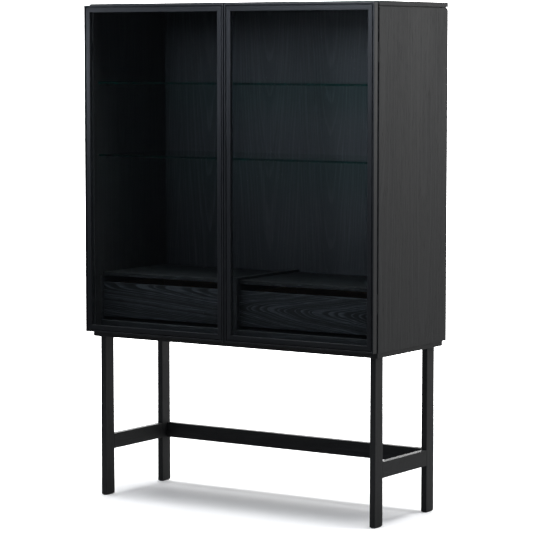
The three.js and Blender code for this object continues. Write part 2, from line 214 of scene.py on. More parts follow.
def noise(tree, vector, scale=1.0, detail=2.0, roughness=0.5):
    inputs = {"Vector": vector, "Scale": scale, "Detail": detail, "Roughness": roughness}
    return add_node(tree, "ShaderNodeTexNoise", inputs).outputs[0]


def remap(tree, value, low, high, to_low=0.0, to_high=1.0):
    """A value taken smoothly from one range to another, and held outside it."""
    inputs = {0: value, 1: low, 2: high, 3: to_low, 4: to_high}
    return add_node(tree, "ShaderNodeMapRange", inputs, interpolation_type="SMOOTHSTEP").outputs[0]


def mixed(tree, share, first, second, blend="MIX"):
    """Two colours mixed."""
    inputs = {0: share, 6: first, 7: second}
    return add_node(tree, "ShaderNodeMix", inputs, data_type="RGBA", blend_type=blend).outputs[2]


def attribute(tree, name, output):
    return add_node(tree, "ShaderNodeAttribute", attribute_name=name).outputs[output]


def opaque(rgb):
    return (*rgb, 1.0)


def new_group(name, inputs, outputs):
    """An empty node group with its sockets, as (tree, start node, end node)."""
    group = bpy.data.node_groups.new(name, "ShaderNodeTree")
    for socket, kind, default in inputs:
        made = group.interface.new_socket(name=socket, in_out="INPUT", socket_type=kind)
        if default is not None:
            made.default_value = default
    for socket in outputs:
        group.interface.new_socket(name=socket, in_out="OUTPUT", socket_type="NodeSocketFloat")
    return group, group.nodes.new("NodeGroupInput"), group.nodes.new("NodeGroupOutput")


def wood_figure():
    """Growth rings, fibres, open pores and cloudy stain of a board, or of veneer leaves side by side.

    The vector is the place in the log: across the board's face, through its thickness, along the grain."""
    found = bpy.data.node_groups.get("Wood figure")
    if found:
        return found
    number = "NodeSocketFloat"
    inputs = (
        ("Place", "NodeSocketVector", None),
        ("Ring Spacing", number, 0.006),
        ("Taper", number, 0.03),
        ("Waviness", number, 0.008),
        ("Leaf Width", number, 10.0),
    )
    tree, start, end = new_group("Wood figure", inputs, ("Rings", "Fibre", "Pores", "Cloud"))
    across, through, along = add_node(tree, "ShaderNodeSeparateXYZ", {0: start.outputs["Place"]}).outputs

    # Each leaf of veneer comes from its own place along the log.
    leaf = start.outputs["Leaf Width"]
    leaf_number = maths(tree, "ROUND", maths(tree, "DIVIDE", across, leaf))
    across = maths(tree, "SUBTRACT", across, maths(tree, "MULTIPLY", leaf_number, leaf))
    along = maths(tree, "MULTIPLY_ADD", leaf_number, 0.61, along)
    place = add_node(tree, "ShaderNodeCombineXYZ", {0: across, 1: through, 2: along}).outputs[0]

    wander = noise(tree, stretched(tree, place, (9, 9, 1.7)), detail=3)
    wander = maths(tree, "MULTIPLY", maths(tree, "SUBTRACT", wander, 0.5), start.outputs["Waviness"])
    deep = maths(tree, "POWER", through, 2)
    radius = maths(tree, "SQRT", maths(tree, "MULTIPLY_ADD", across, across, deep))
    radius = maths(tree, "SUBTRACT", radius, maths(tree, "MULTIPLY", along, start.outputs["Taper"]))
    years = maths(tree, "DIVIDE", maths(tree, "ADD", radius, wander), start.outputs["Ring Spacing"])
    good_years = add_node(tree, "ShaderNodeTexNoise", {1: years, 2: 0.6, 3: 1.0}, noise_dimensions="1D")
    season = maths(tree, "FRACT", maths(tree, "MULTIPLY_ADD", good_years.outputs[0], 2.4, years))
    growing, ending = remap(tree, season, 0.48, 0.88), remap(tree, season, 0.92, 1.0, 1.0, 0.0)
    late_wood = maths(tree, "MULTIPLY", growing, ending)

    fibre = noise(tree, stretched(tree, place, (520, 520, 7)), detail=3, roughness=0.6)
    pores = noise(tree, stretched(tree, place, (900, 900, 30)), detail=1)
    pores = remap(tree, pores, 0.60, 0.72)
    early_wood = maths(tree, "SUBTRACT", 1.0, maths(tree, "MULTIPLY", late_wood, 0.7))
    streaks = noise(tree, stretched(tree, place, (170, 170, 2.4)), detail=3, roughness=0.65)
    cloud = noise(tree, stretched(tree, place, (8, 8, 2.2)), detail=2)
    cloud = maths(tree, "MULTIPLY_ADD", streaks, 0.6, maths(tree, "MULTIPLY", cloud, 0.4))
    feed(tree, end.inputs["Rings"], late_wood)
    feed(tree, end.inputs["Fibre"], fibre)
    feed(tree, end.inputs["Pores"], maths(tree, "MULTIPLY", pores, early_wood))
    feed(tree, end.inputs["Cloud"], cloud)
    return tree


def edge_wear_and_highlight():
    """Where handling has worn an eased edge, partly rubbed stain and partly a painted highlight, from the
    attribute that marks the edges.
    """
    found = bpy.data.node_groups.get("Worn edges")
    if found:
        return found
    inputs = (("Place", "NodeSocketVector", None), ("Amount", "NodeSocketFloat", 0.5))
    tree, start, end = new_group("Worn edges", inputs, ("Mask",))
    patches = remap(tree, noise(tree, start.outputs["Place"], scale=38, detail=4), 0.42, 0.68)
    edge = attribute(tree, "arris", "Fac")
    mask = maths(tree, "MULTIPLY", maths(tree, "MULTIPLY", edge, patches), start.outputs["Amount"])
    feed(tree, end.inputs["Mask"], mask)
    return tree


def dust():
    """A thin, uneven bloom on faces that look up."""
    found = bpy.data.node_groups.get("Dust")
    if found:
        return found
    tree, start, end = new_group("Dust", (("Place", "NodeSocketVector", None),), ("Mask",))
    normal = add_node(tree, "ShaderNodeNewGeometry").outputs["Normal"]
    upward = add_node(tree, "ShaderNodeSeparateXYZ", {0: normal})
    facing = remap(tree, upward.outputs[Z], 0.6, 0.98)
    patches = noise(tree, start.outputs["Place"], scale=24, detail=5, roughness=0.7)
    feed(tree, end.inputs["Mask"], maths(tree, "MULTIPLY", facing, remap(tree, patches, 0.35, 0.8)))
    return tree


def new_material(name):
    """A material as (material, its tree, its Principled shader)."""
    material = bpy.data.materials.new(name)
    material.use_nodes = True
    return material, material.node_tree, material.node_tree.nodes["Principled BSDF"]


def bump(tree, height, depth, strength=1.0):
    inputs = {"Height": height, "Distance": depth, "Strength": strength}
    return add_node(tree, "ShaderNodeBump", inputs).outputs[0]


def wood(
    name, dark, light, lines, roughness, relief, spacing, taper, waviness,
    leaf=10.0, contrast=0.2, dusty=0.0, shine=0.5,
):
    """Wood along its grain. lines is how far the rings show, relief how deep the brushed grain is."""
    material, tree, shader = new_material(name)
    shader.inputs["Specular IOR Level"].default_value = shine
    place = attribute(tree, "grain", "Vector")
    log = {"Place": place, "Ring Spacing": spacing, "Taper": taper, "Waviness": waviness, "Leaf Width": leaf}
    figure = add_node(tree, "ShaderNodeGroup", log, node_tree=wood_figure()).outputs
    rings, fibre, pores, cloud = (figure[output] for output in ("Rings", "Fibre", "Pores", "Cloud"))
    rubbed_and_highlit = add_node(tree, "ShaderNodeGroup", {"Place": place}, node_tree=edge_wear_and_highlight()).outputs["Mask"]
    bloom = add_node(tree, "ShaderNodeGroup", {"Place": place}, node_tree=dust()).outputs["Mask"]

    line = maths(tree, "MULTIPLY", rings, remap(tree, fibre, 0.30, 0.62, lines * 0.45, lines))
    shade = mixed(tree, line, opaque(dark), opaque(light))
    clouds = remap(tree, cloud, 0.30, 0.70, 1 - contrast, 1 + contrast)
    streaks = remap(tree, fibre, 0.25, 0.75, 1 - contrast, 1 + contrast)
    flecks = remap(tree, cloud, 0.56, 0.68, 1.0, 0.78)
    for variation in (clouds, streaks, flecks):
        shade = mixed(tree, 1.0, shade, variation, blend="MULTIPLY")
    shade = mixed(tree, maths(tree, "MULTIPLY", pores, 0.55), shade, opaque([0.35 * level for level in dark]))
    # Eased edges lighter: partly worn stain, partly a painted highlight along the arris.
    shade = mixed(tree, rubbed_and_highlit, shade, opaque([1.6 * level for level in light]))
    shade = mixed(tree, maths(tree, "MULTIPLY", bloom, dusty), shade, (0.5, 0.49, 0.47, 1.0))
    feed(tree, shader.inputs["Base Color"], shade)

    gloss = remap(tree, cloud, 0.3, 0.7, roughness - 0.05, roughness + 0.06)
    gloss = maths(tree, "MULTIPLY_ADD", pores, 0.18, gloss)
    gloss = maths(tree, "MULTIPLY_ADD", bloom, 0.06, gloss)
    feed(tree, shader.inputs["Roughness"], gloss)
    height = maths(tree, "MULTIPLY_ADD", rings, 0.5, maths(tree, "MULTIPLY", fibre, 0.5))
    height = maths(tree, "MULTIPLY_ADD", pores, -0.6, height)
    feed(tree, shader.inputs["Normal"], bump(tree, height, relief))
    return material


def glass(name, tint, green=0.0):
    """Clear float glass with faint smears. green is how fast it takes up light, per metre."""
    material, tree, shader = new_material(name)
    place = add_node(tree, "ShaderNodeTexCoord").outputs["Object"]
    shader.inputs["Base Color"].default_value = opaque(tint)
    shader.inputs["Transmission Weight"].default_value = 1.0
    shader.inputs["IOR"].default_value = 1.52
    smears = noise(tree, stretched(tree, place, (5, 5, 3)), detail=5, roughness=0.65)
    feed(tree, shader.inputs["Roughness"], remap(tree, smears, 0.45, 0.8, 0.0, 0.015))
    ripple = noise(tree, place, scale=3.0, detail=1)
    feed(tree, shader.inputs["Normal"], bump(tree, ripple, 0.0002, strength=0.3))
    # Light and shadow pass straight through, so what stands behind the glass is lit.
    ray = add_node(tree, "ShaderNodeLightPath")
    passing = maths(tree, "MAXIMUM", ray.outputs["Is Shadow Ray"], ray.outputs["Is Diffuse Ray"])
    clear = add_node(tree, "ShaderNodeBsdfTransparent", {"Color": opaque(tint)})
    either = add_node(tree, "ShaderNodeMixShader", {0: passing, 1: shader.outputs[0], 2: clear.outputs[0]})
    output = tree.nodes["Material Output"]
    feed(tree, output.inputs["Surface"], either.outputs[0])
    if green:
        sea_green = (0.38, 0.90, 0.86, 1.0)
        body = add_node(tree, "ShaderNodeVolumeAbsorption", {"Color": sea_green, "Density": green})
        feed(tree, output.inputs["Volume"], body.outputs[0])
    return material


def metal(name, tone, roughness, metallic, brushing):
    """Plated or painted steel. brushing is how strongly fine scratches run along Z."""
    material, tree, shader = new_material(name)
    place = add_node(tree, "ShaderNodeTexCoord").outputs["Object"]
    scratches = noise(tree, stretched(tree, place, (2600, 2600, 90)), detail=3, roughness=0.6)
    blotches = noise(tree, place, scale=120, detail=3)
    shade = remap(tree, blotches, 0.3, 0.7, 0.82, 1.1)
    feed(tree, shader.inputs["Base Color"], mixed(tree, 1.0, opaque(tone), shade, blend="MULTIPLY"))
    shader.inputs["Metallic"].default_value = metallic
    gloss = remap(tree, scratches, 0.3, 0.7, roughness - 0.08, roughness + 0.1)
    feed(tree, shader.inputs["Roughness"], gloss)
    feed(tree, shader.inputs["Normal"], bump(tree, scratches, 0.00004, strength=brushing))
    return material


def moulded(name, tone, roughness):
    """Plastic or rubber with a fine moulded grain."""
    material, tree, shader = new_material(name)
    place = add_node(tree, "ShaderNodeTexCoord").outputs["Object"]
    cells = add_node(tree, "ShaderNodeTexVoronoi", {"Vector": place, "Scale": 2200.0}).outputs["Distance"]
    worn = noise(tree, place, scale=90, detail=3)
    rubbed_tone = opaque([1.5 * level for level in tone])
    feed(tree, shader.inputs["Base Color"], mixed(tree, worn, opaque(tone), rubbed_tone))
    feed(tree, shader.inputs["Roughness"], remap(tree, worn, 0.3, 0.7, roughness - 0.08, roughness + 0.08))
    feed(tree, shader.inputs["Normal"], bump(tree, cells, 0.00005, strength=0.6))
    return material


# How each wood looks. A wood without a leaf is one board wide, and dusty wood shows a bloom on top.
WOODS = {
    "stained_wood": dict(
        dark="stain", light="stain_light", lines=0.5, roughness=0.50, relief=0.00022,
        spacing=0.0075, taper=0.016, waviness=0.030, leaf=0.27, contrast=0.27, dusty=0.02,
    ),
    "interior_wood": dict(
        dark="inside", light="inside_light", lines=0.55, roughness=0.56, relief=0.00022,
        spacing=0.0090, taper=0.055, waviness=0.026, leaf=0.24, contrast=0.24, shine=0.32,
    ),
    # The decks: a darker copy of the interior wood, as painted shade.
    "deck_wood": dict(
        dark="deck", light="deck_light", lines=0.45, roughness=0.60, relief=0.00022,
        spacing=0.0090, taper=0.055, waviness=0.026, contrast=0.24, shine=0.20,
    ),
    "door_frame_wood": dict(
        dark="door", light="stain_light", lines=0.15, roughness=0.36, relief=0.00006,
        spacing=0.004, taper=0.01, waviness=0.006, contrast=0.12,
    ),
    "drawer_front_wood": dict(
        dark="front", light="front_light", lines=0.95, roughness=0.60, relief=0.00030,
        spacing=0.0044, taper=0.14, waviness=0.040, contrast=0.22, shine=0.15,
    ),
    "bare_wood": dict(
        dark="timber", light="timber_dark", lines=0.75, roughness=0.48, relief=0.00010,
        spacing=0.0045, taper=0.02, waviness=0.010, contrast=0.12,
    ),
}


def finish(slot):
    """The material of one of the record's slots, or the darker copy of the interior wood that paints shade on
    the decks, made when it is first asked for.
    """
    name = slot.replace("_", " ").capitalize() + " finish"
    found = bpy.data.materials.get(name)
    if found:
        return found
    tones = bpy.context.scene.cabinet_colours
    if slot in WOODS:
        look = dict(WOODS[slot])
        look.update({shade: getattr(tones, look[shade]) for shade in ("dark", "light")})
        return wood(name, **look)
    if slot == "door_glass":
        return glass(name, tones.pane)
    if slot == "shelf_glass":
        return glass(name, tones.shelf, green=13.0)
    if slot == "black_steel":
        return metal(name, (0.028, 0.029, 0.030), roughness=0.42, metallic=0.55, brushing=0.5)
    if slot == "zinc_steel":
        return metal(name, (0.60, 0.61, 0.63), roughness=0.34, metallic=1.0, brushing=0.9)
    if slot == "black_plastic":
        return moulded(name, (0.016, 0.016, 0.017), roughness=0.6)
    raise ValueError(f"no finish is known for the slot {slot}")


# ----------------------------------------
# Meshes


def point(x, y, z):
    return Vector((x, y, z))


def block(corner, other, bm=None):
    """A block between two opposite corners, in a mesh of its own or added to one."""
    bm = bm or bmesh.new()
    size = map(abs, other - corner)
    place = Matrix.Translation((corner + other) / 2) @ Matrix.Diagonal((*size, 1))
    bmesh.ops.create_cube(bm, size=1, matrix=place)
    return bm


def prism(outline, axis, span):
    """An outline filled and drawn out along an axis. Its points lie on the other two axes, in their order."""
    bm = bmesh.new()
    corners = []
    for place in outline:
        place = list(place)
        place.insert(axis, span[0])
        corners.append(bm.verts.new(place))
    face = bm.faces.new(corners)
    drawn = bmesh.ops.extrude_face_region(bm, geom=[face])["geom"]
    step = Vector()
    step[axis] = span[1] - span[0]
    bmesh.ops.translate(bm, vec=step, verts=[part for part in drawn if isinstance(part, bmesh.types.BMVert)])
    bmesh.ops.recalc_face_normals(bm, faces=bm.faces)
    return bm


def rod(bm, start, end, radius, segments=32):
    """A round bar between two points, added to a mesh."""
    line = end - start
    turn = line.to_track_quat("Z", "Y").to_matrix().to_4x4()
    place = Matrix.Translation((start + end) / 2) @ turn
    made = bmesh.ops.create_cone(
        bm, cap_ends=True, segments=segments, radius1=radius, radius2=radius, depth=line.length, matrix=place
    )
    return made["verts"]


def rims(corners, least=math.radians(50)):
    """The edges round the two ends of a rod, found from its corners."""
    return {edge for corner in corners for edge in corner.link_edges if edge.calc_face_angle() > least}


def ease(bm, edges, radius, segments):
    """Rounds edges, and marks the new faces as an arris."""
    mark = bm.faces.layers.float.get("arris") or bm.faces.layers.float.new("arris")
    edges = [edge for edge in edges if edge.is_valid]
    made = bmesh.ops.bevel(
        bm, geom=edges, affect="EDGES", offset=radius, segments=segments, profile=0.5, material=-1,
        clamp_overlap=True,
    )
    for face in made["faces"]:
        face[mark] = 1.0
    return bm


def sharp_edges(bm, least=math.radians(50)):
    return [edge for edge in bm.edges if len(edge.link_faces) == 2 and edge.calc_face_angle() > least]


def ease_all(bm, radius, segments):
    """Rounds every sharp edge of a mesh."""
    return ease(bm, sharp_edges(bm), radius, segments)


def cut_off(bm, place, outwards):
    """Cuts away what lies beyond a plane, and closes the cut."""
    cut = bmesh.ops.bisect_plane(
        bm, geom=[*bm.verts, *bm.edges, *bm.faces], plane_co=place, plane_no=outwards, clear_outer=True
    )
    rim = [part for part in cut["geom_cut"] if isinstance(part, bmesh.types.BMEdge)]
    bmesh.ops.contextual_create(bm, geom=rim)


def edges_along(bm, axis):
    """The edges that run along an axis."""
    across = [other for other in (X, Y, Z) if other != axis]
    return [
        edge for edge in bm.edges
        if all(abs(edge.verts[0].co[other] - edge.verts[1].co[other]) < CLOSE for other in across)
    ]


def write_grain(mesh, name, along, pith=None):
    """Keeps each point's place in the log that the board comes from, as the attribute grain.

    along is the axis of the grain. pith is where the log's heart lies from the middle of the board, across
    its broad face and through its thickness, and how much the log is drawn out."""
    places = [vertex.co.copy() for vertex in mesh.vertices]
    low = [min(place[axis] for place in places) for axis in range(3)]
    high = [max(place[axis] for place in places) for axis in range(3)]
    middle = [(a + b) / 2 for a, b in zip(low, high)]
    across = sorted((axis for axis in range(3) if axis != along), key=lambda axis: low[axis] - high[axis])
    draw = random.Random(name)
    broad, thin = across
    heart = pith or (draw.uniform(-0.25, 0.25) * (high[broad] - low[broad]), draw.uniform(0.04, 0.09), 1)
    start = draw.uniform(1.0, 9.0)
    values = []
    for place in places:
        values.append(place[broad] - middle[broad] - heart[0])
        values.append(place[thin] - middle[thin] + heart[1])
        values.append((place[along] - low[along] + start) * heart[2])
    mesh.attributes.new("grain", "FLOAT_VECTOR", "POINT").data.foreach_set("vector", values)


def make_piece(name, bm, body, slot, grain=None, pith=None):
    """A finished mesh as a piece that rides on a body."""
    mesh = bpy.data.meshes.new(name)
    bm.to_mesh(mesh)
    bm.free()
    mesh.shade_smooth()
    mesh.set_sharp_from_angle(angle=math.radians(40))
    if grain is not None:
        write_grain(mesh, name, grain, pith)
    mesh.materials.append(finish(slot))
    piece = bpy.data.objects.new(name, mesh)
    bpy.context.scene.collection.objects.link(piece)
    weighted = piece.modifiers.new("Flat faces stay flat", "WEIGHTED_NORMAL")
    weighted.keep_sharp = True
    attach(piece, body)
    return piece


def stand_for(node, bm, grain=None, pith=None, suffix="finished"):
    """A finished mesh as the piece that is shown for a part of the model."""
    piece = make_piece(f"{node}_{suffix}", bm, BODY_OF[node], SLOT_OF[node], grain, pith)
    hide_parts(node)
    return piece


def board(node, grain=None, pith=None, radius=None, segments=None):
    """A plain board or pane with eased edges."""
    edges = bpy.context.scene.cabinet_edges
    bm = ease_all(block(*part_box(node)), radius or edges.board, segments or edges.segments)
    return stand_for(node, bm, grain, pith)


def screw_head():
    """A raised screw head of radius 1 on the plane Z 0, with a cross recess."""
    found = bpy.data.meshes.get("Screw head")
    if found:
        return found
    rim, wall, sink = 0.78, 0.12, 0.2
    waist, arm, taper = 0.28, 0.62, 0.6  # of the cross recess
    bm = bmesh.new()
    place = Matrix.Translation((0, 0, SCREW_RISE / 2))
    bmesh.ops.create_cone(
        bm, cap_ends=True, segments=16, radius1=1, radius2=rim, depth=SCREW_RISE, matrix=place
    )
    top = max(bm.faces, key=lambda face: face.calc_center_median().z)
    bmesh.ops.inset_region(bm, faces=[top], thickness=wall)
    for corner in top.verts:
        reach = abs(math.cos(2 * math.atan2(corner.co.y, corner.co.x))) ** 3
        corner.co.xy *= waist + arm * reach
    floor = bmesh.ops.extrude_discrete_faces(bm, faces=[top])["faces"][0]
    for corner in floor.verts:
        corner.co = point(corner.co.x * taper, corner.co.y * taper, SCREW_RISE - sink)
    mesh = bpy.data.meshes.new("Screw head")
    bm.to_mesh(mesh)
    bm.free()
    return mesh


def screws(name, body, slot, places, outwards, radius):
    """Screw heads on a face, as one piece. Each is driven to an angle of its own."""
    first_turn, next_turn = 0.3, 0.7
    bm = bmesh.new()
    turn = outwards.to_track_quat("Z", "Y").to_matrix().to_4x4()
    for number, place in enumerate(places):
        first = len(bm.verts)
        bm.from_mesh(screw_head())
        bm.verts.ensure_lookup_table()
        driven = Matrix.Rotation(next_turn * number + first_turn, 4, "Z")
        matrix = Matrix.Translation(place) @ turn @ driven @ Matrix.Scale(radius, 4)
        bmesh.ops.transform(bm, matrix=matrix, verts=bm.verts[first:])
    return make_piece(name, bm, body, slot)


def spaced(start, end, count, margin=0):
    """Evenly spaced values from start to end, kept away from both by a margin."""
    start, end = start + margin, end - margin
    return [start + (end - start) * number / (count - 1) for number in range(count)]


def faces_along_x(node, hand):
    """Where a part begins and ends on X, going to the left for hand -1 and to the right for 1."""
    low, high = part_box(node)
    return (low.x, high.x) if hand > 0 else (high.x, low.x)


# ----------------------------------------
# Operators


class CABINET_OT_stage(bpy.types.Operator):
    """Lay the pale floor, hang the softboxes and set up the camera"""

    bl_idname = "cabinet.stage"
    bl_label = "Stage"

    def execute(self, context):
        studio = context.scene.cabinet_studio
        self.lay_floor(context)
        white, cool = (1, 1, 1), (0.80, 0.87, 1.0)
        open_box, gridded = math.radians(180), math.radians(46)
        softboxes = (
            ("Overhead", (0.05, 0.12, 4.6), (0, 0.05, 0), 2.8, studio.overhead, white, open_box),
            ("Front", (-0.25, -2.5, 2.25), (0.25, 0.1, 1.68), 1.0, studio.front, cool, gridded),
            ("Side", (-1.7, -1.1, 1.5), (-0.5, -0.2, 1.25), 0.5, studio.side, cool, gridded),
            ("Rear", (2.1, 2.3, 1.9), (0.55, 0, 1.1), 1.8, studio.rear, white, open_box),
        )
        for softbox in softboxes:
            self.hang_softbox(context, *softbox)
        self.light_room(context)
        camera = bpy.data.objects.new("Camera", bpy.data.cameras.new("Camera"))
        camera.data.lens = studio.lens
        camera.location = studio.camera_place
        camera.rotation_euler = (math.pi / 2 - studio.camera_tilt, 0, studio.camera_turn)
        context.scene.collection.objects.link(camera)
        context.scene.camera = camera
        context.scene.view_settings.view_transform = "Standard"
        return {"FINISHED"}

    def lay_floor(self, context):
        """A round floor that fades into the white of the room and can be looked through from below."""
        radius, solid_to, gone_by = 4.0, 1.2, 2.8
        bm = bmesh.new()
        bmesh.ops.create_circle(bm, cap_ends=True, segments=96, radius=radius)
        mesh = bpy.data.meshes.new("Floor")
        bm.to_mesh(mesh)
        bm.free()
        floor = bpy.data.objects.new("Floor", mesh)
        context.scene.collection.objects.link(floor)
        material, tree, shader = new_material("Floor")
        place = add_node(tree, "ShaderNodeTexCoord").outputs["Object"]
        distance = add_node(tree, "ShaderNodeVectorMath", {0: place}, operation="LENGTH").outputs["Value"]
        from_below = add_node(tree, "ShaderNodeNewGeometry").outputs["Backfacing"]
        gone = maths(tree, "MAXIMUM", remap(tree, distance, solid_to, gone_by), from_below)
        shader.inputs["Base Color"].default_value = opaque(context.scene.cabinet_colours.floor)
        shader.inputs["Roughness"].default_value = 0.9
        shader.inputs["Specular IOR Level"].default_value = 0.1
        # A bright studio would lift the shadow under the cabinet; this much glow does the same.
        shader.inputs["Emission Color"].default_value = opaque(context.scene.cabinet_colours.floor)
        shader.inputs["Emission Strength"].default_value = 0.10
        # The floor gives little light back, as if black cloth lay just out of view.
        cloth = add_node(tree, "ShaderNodeBsdfDiffuse", {"Color": (0.17, 0.17, 0.17, 1.0)})
        either = add_node(
            tree, "ShaderNodeMixShader", {0: self.looked_at(tree), 1: cloth.outputs[0], 2: shader.outputs[0]}
        )
        clear = add_node(tree, "ShaderNodeBsdfTransparent")
        faded = add_node(tree, "ShaderNodeMixShader", {0: gone, 1: either.outputs[0], 2: clear.outputs[0]})
        feed(tree, tree.nodes["Material Output"].inputs["Surface"], faded.outputs[0])
        mesh.materials.append(material)

    def looked_at(self, tree, glazed=1.0):
        """1 where the camera looks, and glazed where it looks through glass. Other light gets 0."""
        ray = add_node(tree, "ShaderNodeLightPath")
        through_glass = maths(tree, "MULTIPLY", ray.outputs["Is Transmission Ray"], glazed)
        return maths(tree, "MAXIMUM", ray.outputs["Is Camera Ray"], through_glass)

    def hang_softbox(self, context, name, place, target, size, power, tint, spread):
        """A square softbox at a place, aimed at a target."""
        light = bpy.data.lights.new(f"{name} softbox", "AREA")
        light.color = tint
        light.spread = spread
        light.shape = "SQUARE"
        light.size = size
        light.energy = power
        softbox = bpy.data.objects.new(f"{name} softbox", light)
        softbox.location = place
        softbox.rotation_euler = (Vector(target) - Vector(place)).to_track_quat("-Z", "Y").to_euler()
        context.scene.collection.objects.link(softbox)

    def light_room(self, context):
        """A white studio behind the cabinet and a dim room in front of it."""
        studio = context.scene.cabinet_studio
        world = bpy.data.worlds.new("Studio")
        context.scene.world = world
        world.use_nodes = True
        tree = world.node_tree
        direction = add_node(tree, "ShaderNodeTexCoord").outputs["Generated"]

        def towards(where, start, full):
            """1 near a direction and 0 away from it."""
            near = add_node(tree, "ShaderNodeVectorMath", {0: direction, 1: where}, operation="DOT_PRODUCT")
            return remap(tree, near.outputs["Value"], start, full)

        # The tops of the stretchers mirror the wall right behind, and the panes a black cloth in front.
        behind = towards(point(0, 1, 0), -0.25, 0.45)
        cloth = towards(point(-0.55, -0.83, -0.09), 0.90, 0.97)
        front = maths(tree, "MULTIPLY_ADD", cloth, studio.cloth - studio.room, studio.room)
        glow = maths(tree, "MULTIPLY_ADD", behind, studio.backdrop, front)
        glow = maths(tree, "MULTIPLY_ADD", towards(point(0, 0.2, 0.98), 0.72, 0.96), studio.ceiling, glow)
        glow = maths(tree, "MULTIPLY_ADD", towards(point(-0.55, 0.83, 0.09), 0.93, 0.99), studio.wall, glow)
        seen = self.looked_at(tree, behind)
        background = tree.nodes["Background"]
        feed(tree, background.inputs["Strength"], maths(tree, "MAXIMUM", glow, seen))
        white = maths(tree, "MAXIMUM", behind, seen)
        feed(tree, background.inputs["Color"], mixed(tree, white, (0.76, 0.84, 1.0, 1.0), (1, 1, 1, 1)))


class CABINET_OT_leg_frame(bpy.types.Operator):
    """Make the legs, the stretchers, the glides and the base board"""

    bl_idname = "cabinet.leg_frame"
    bl_label = "Leg Frame"

    def execute(self, context):
        edges = context.scene.cabinet_edges
        hardware = context.scene.cabinet_hardware
        for end in ("front", "rear"):
            for side, _hand in SIDES:
                node = f"leg_{end}_{side}"
                low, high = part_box(node)
                foot = low + point(0, 0, hardware.glide)
                stand_for(node, ease_all(block(foot, high), edges.board, edges.segments), Z)
                self.glide(f"glide_{end}_{side}", low, high, hardware)
        board("stretcher_left", Y)
        board("stretcher_right", Y)
        board("stretcher_rear", X)
        board("base_board", X)
        self.fix_base(hardware)
        return {"FINISHED"}

    def glide(self, name, low, high, hardware):
        """A nylon pad under a leg, a little smaller than the leg all round."""
        corner_radius, rim = 0.003, 0.0006
        inset = point(hardware.glide_inset, hardware.glide_inset, 0)
        bm = block(low + inset, point(high.x, high.y, low.z + hardware.glide) - inset)
        ease(bm, edges_along(bm, Z), corner_radius, 6)
        ease_all(bm, rim, 2)
        make_piece(name, bm, "cabinet", "black_plastic")

    def fix_base(self, hardware):
        """The screws that hold the base board to the case, on its underside."""
        low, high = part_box("base_board")
        end_margin, side_margin = 0.09, 0.035
        places = [
            point(x, y, low.z)
            for x in spaced(low.x, high.x, 5, end_margin)
            for y in (low.y + side_margin, high.y - side_margin)
        ]
        screws("base_screws", "cabinet", "black_steel", places, point(0, 0, -1), hardware.screw)


class CABINET_OT_case(bpy.types.Operator):
    """Make the sides, the top board, the floor and the back panel"""

    bl_idname = "cabinet.case"
    bl_label = "Case"

    def execute(self, context):
        for side, hand in SIDES:
            self.case_side(context, side, hand)
        board("top_board", X, pith=(0.05, 0.07, 1))
        board("case_floor", X)
        board("back_panel", Z, pith=(0.13, 0.055, 1))
        self.fix_back(context.scene.cabinet_hardware)
        return {"FINISHED"}

    def case_side(self, context, side, hand):
        """A side with its back panel groove, its round upper rear corner and its tongue under the top."""
        edges = context.scene.cabinet_edges
        corner_radius = 0.008
        tongue_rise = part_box("top_board")[0].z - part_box(f"case_side_{side}")[1].z
        node = f"case_side_{side}"
        low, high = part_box(node)
        inner, outer = faces_along_x(node, hand)
        panel_low, panel_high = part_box("back_panel")
        groove = (panel_low.y - edges.play, panel_high.y + edges.play)
        groove_end = hand * (panel_high.x + edges.play)
        shadow_gap = 0.003
        shoulder = high.z + tongue_rise - shadow_gap
        outline = [
            (inner, low.y), (outer, low.y), (outer, high.y), (inner, high.y),
            (inner, groove[1]), (groove_end, groove[1]), (groove_end, groove[0]), (inner, groove[0]),
        ]
        bm = prism(outline, Z, (low.z, shoulder))
        self.round_corner(bm, point(0, high.y, shoulder), corner_radius)
        step = 0.006
        shown = [
            edge for edge in sharp_edges(bm)
            if all(end.co.y < groove[0] - step or abs(end.co.x - outer) < CLOSE for end in edge.verts)
        ]
        ease(bm, shown, edges.board, edges.segments)
        # The tongue is wide in front of the groove, and narrow beside it.
        tongues = (
            (inner, outer - hand * step, low.y + step, groove[0] - step),
            (groove_end, outer - hand * step / 2, groove[0] - 2 * step, high.y - 0.75 * corner_radius),
        )
        for inner_face, outer_face, front, rear in tongues:
            block(point(inner_face, front, shoulder - step), point(outer_face, rear, high.z), bm)
        stand_for(node, bm, Z, pith=(0.06 * hand, 0.075, 1))

    def round_corner(self, bm, corner, radius, steps=6):
        """Rounds the upper rear corner by cuts along its arc, as the groove leaves no room for a bevel."""
        centre = corner - point(0, radius, radius)
        for step in range(steps):
            swing = (step + 0.5) / steps * math.pi / 2
            outwards = point(0, math.cos(swing), math.sin(swing))
            cut_off(bm, centre + outwards * radius, outwards)
        bmesh.ops.recalc_face_normals(bm, faces=bm.faces)

    def fix_back(self, hardware):
        """Screws through the back panel into the case floor and the decks."""
        low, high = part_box("back_panel")
        floor_low, floor_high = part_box("case_floor")
        deck_low, deck_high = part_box("bay_deck_left")
        levels = ((floor_low.z + floor_high.z) / 2, (deck_low.z + deck_high.z) / 2)
        margin = 0.06
        places = [point(x, high.y, z) for z in levels for x in spaced(low.x, high.x, 6, margin)]
        screws("back_panel_screws", "cabinet", "black_steel", places, point(0, 1, 0), hardware.screw)


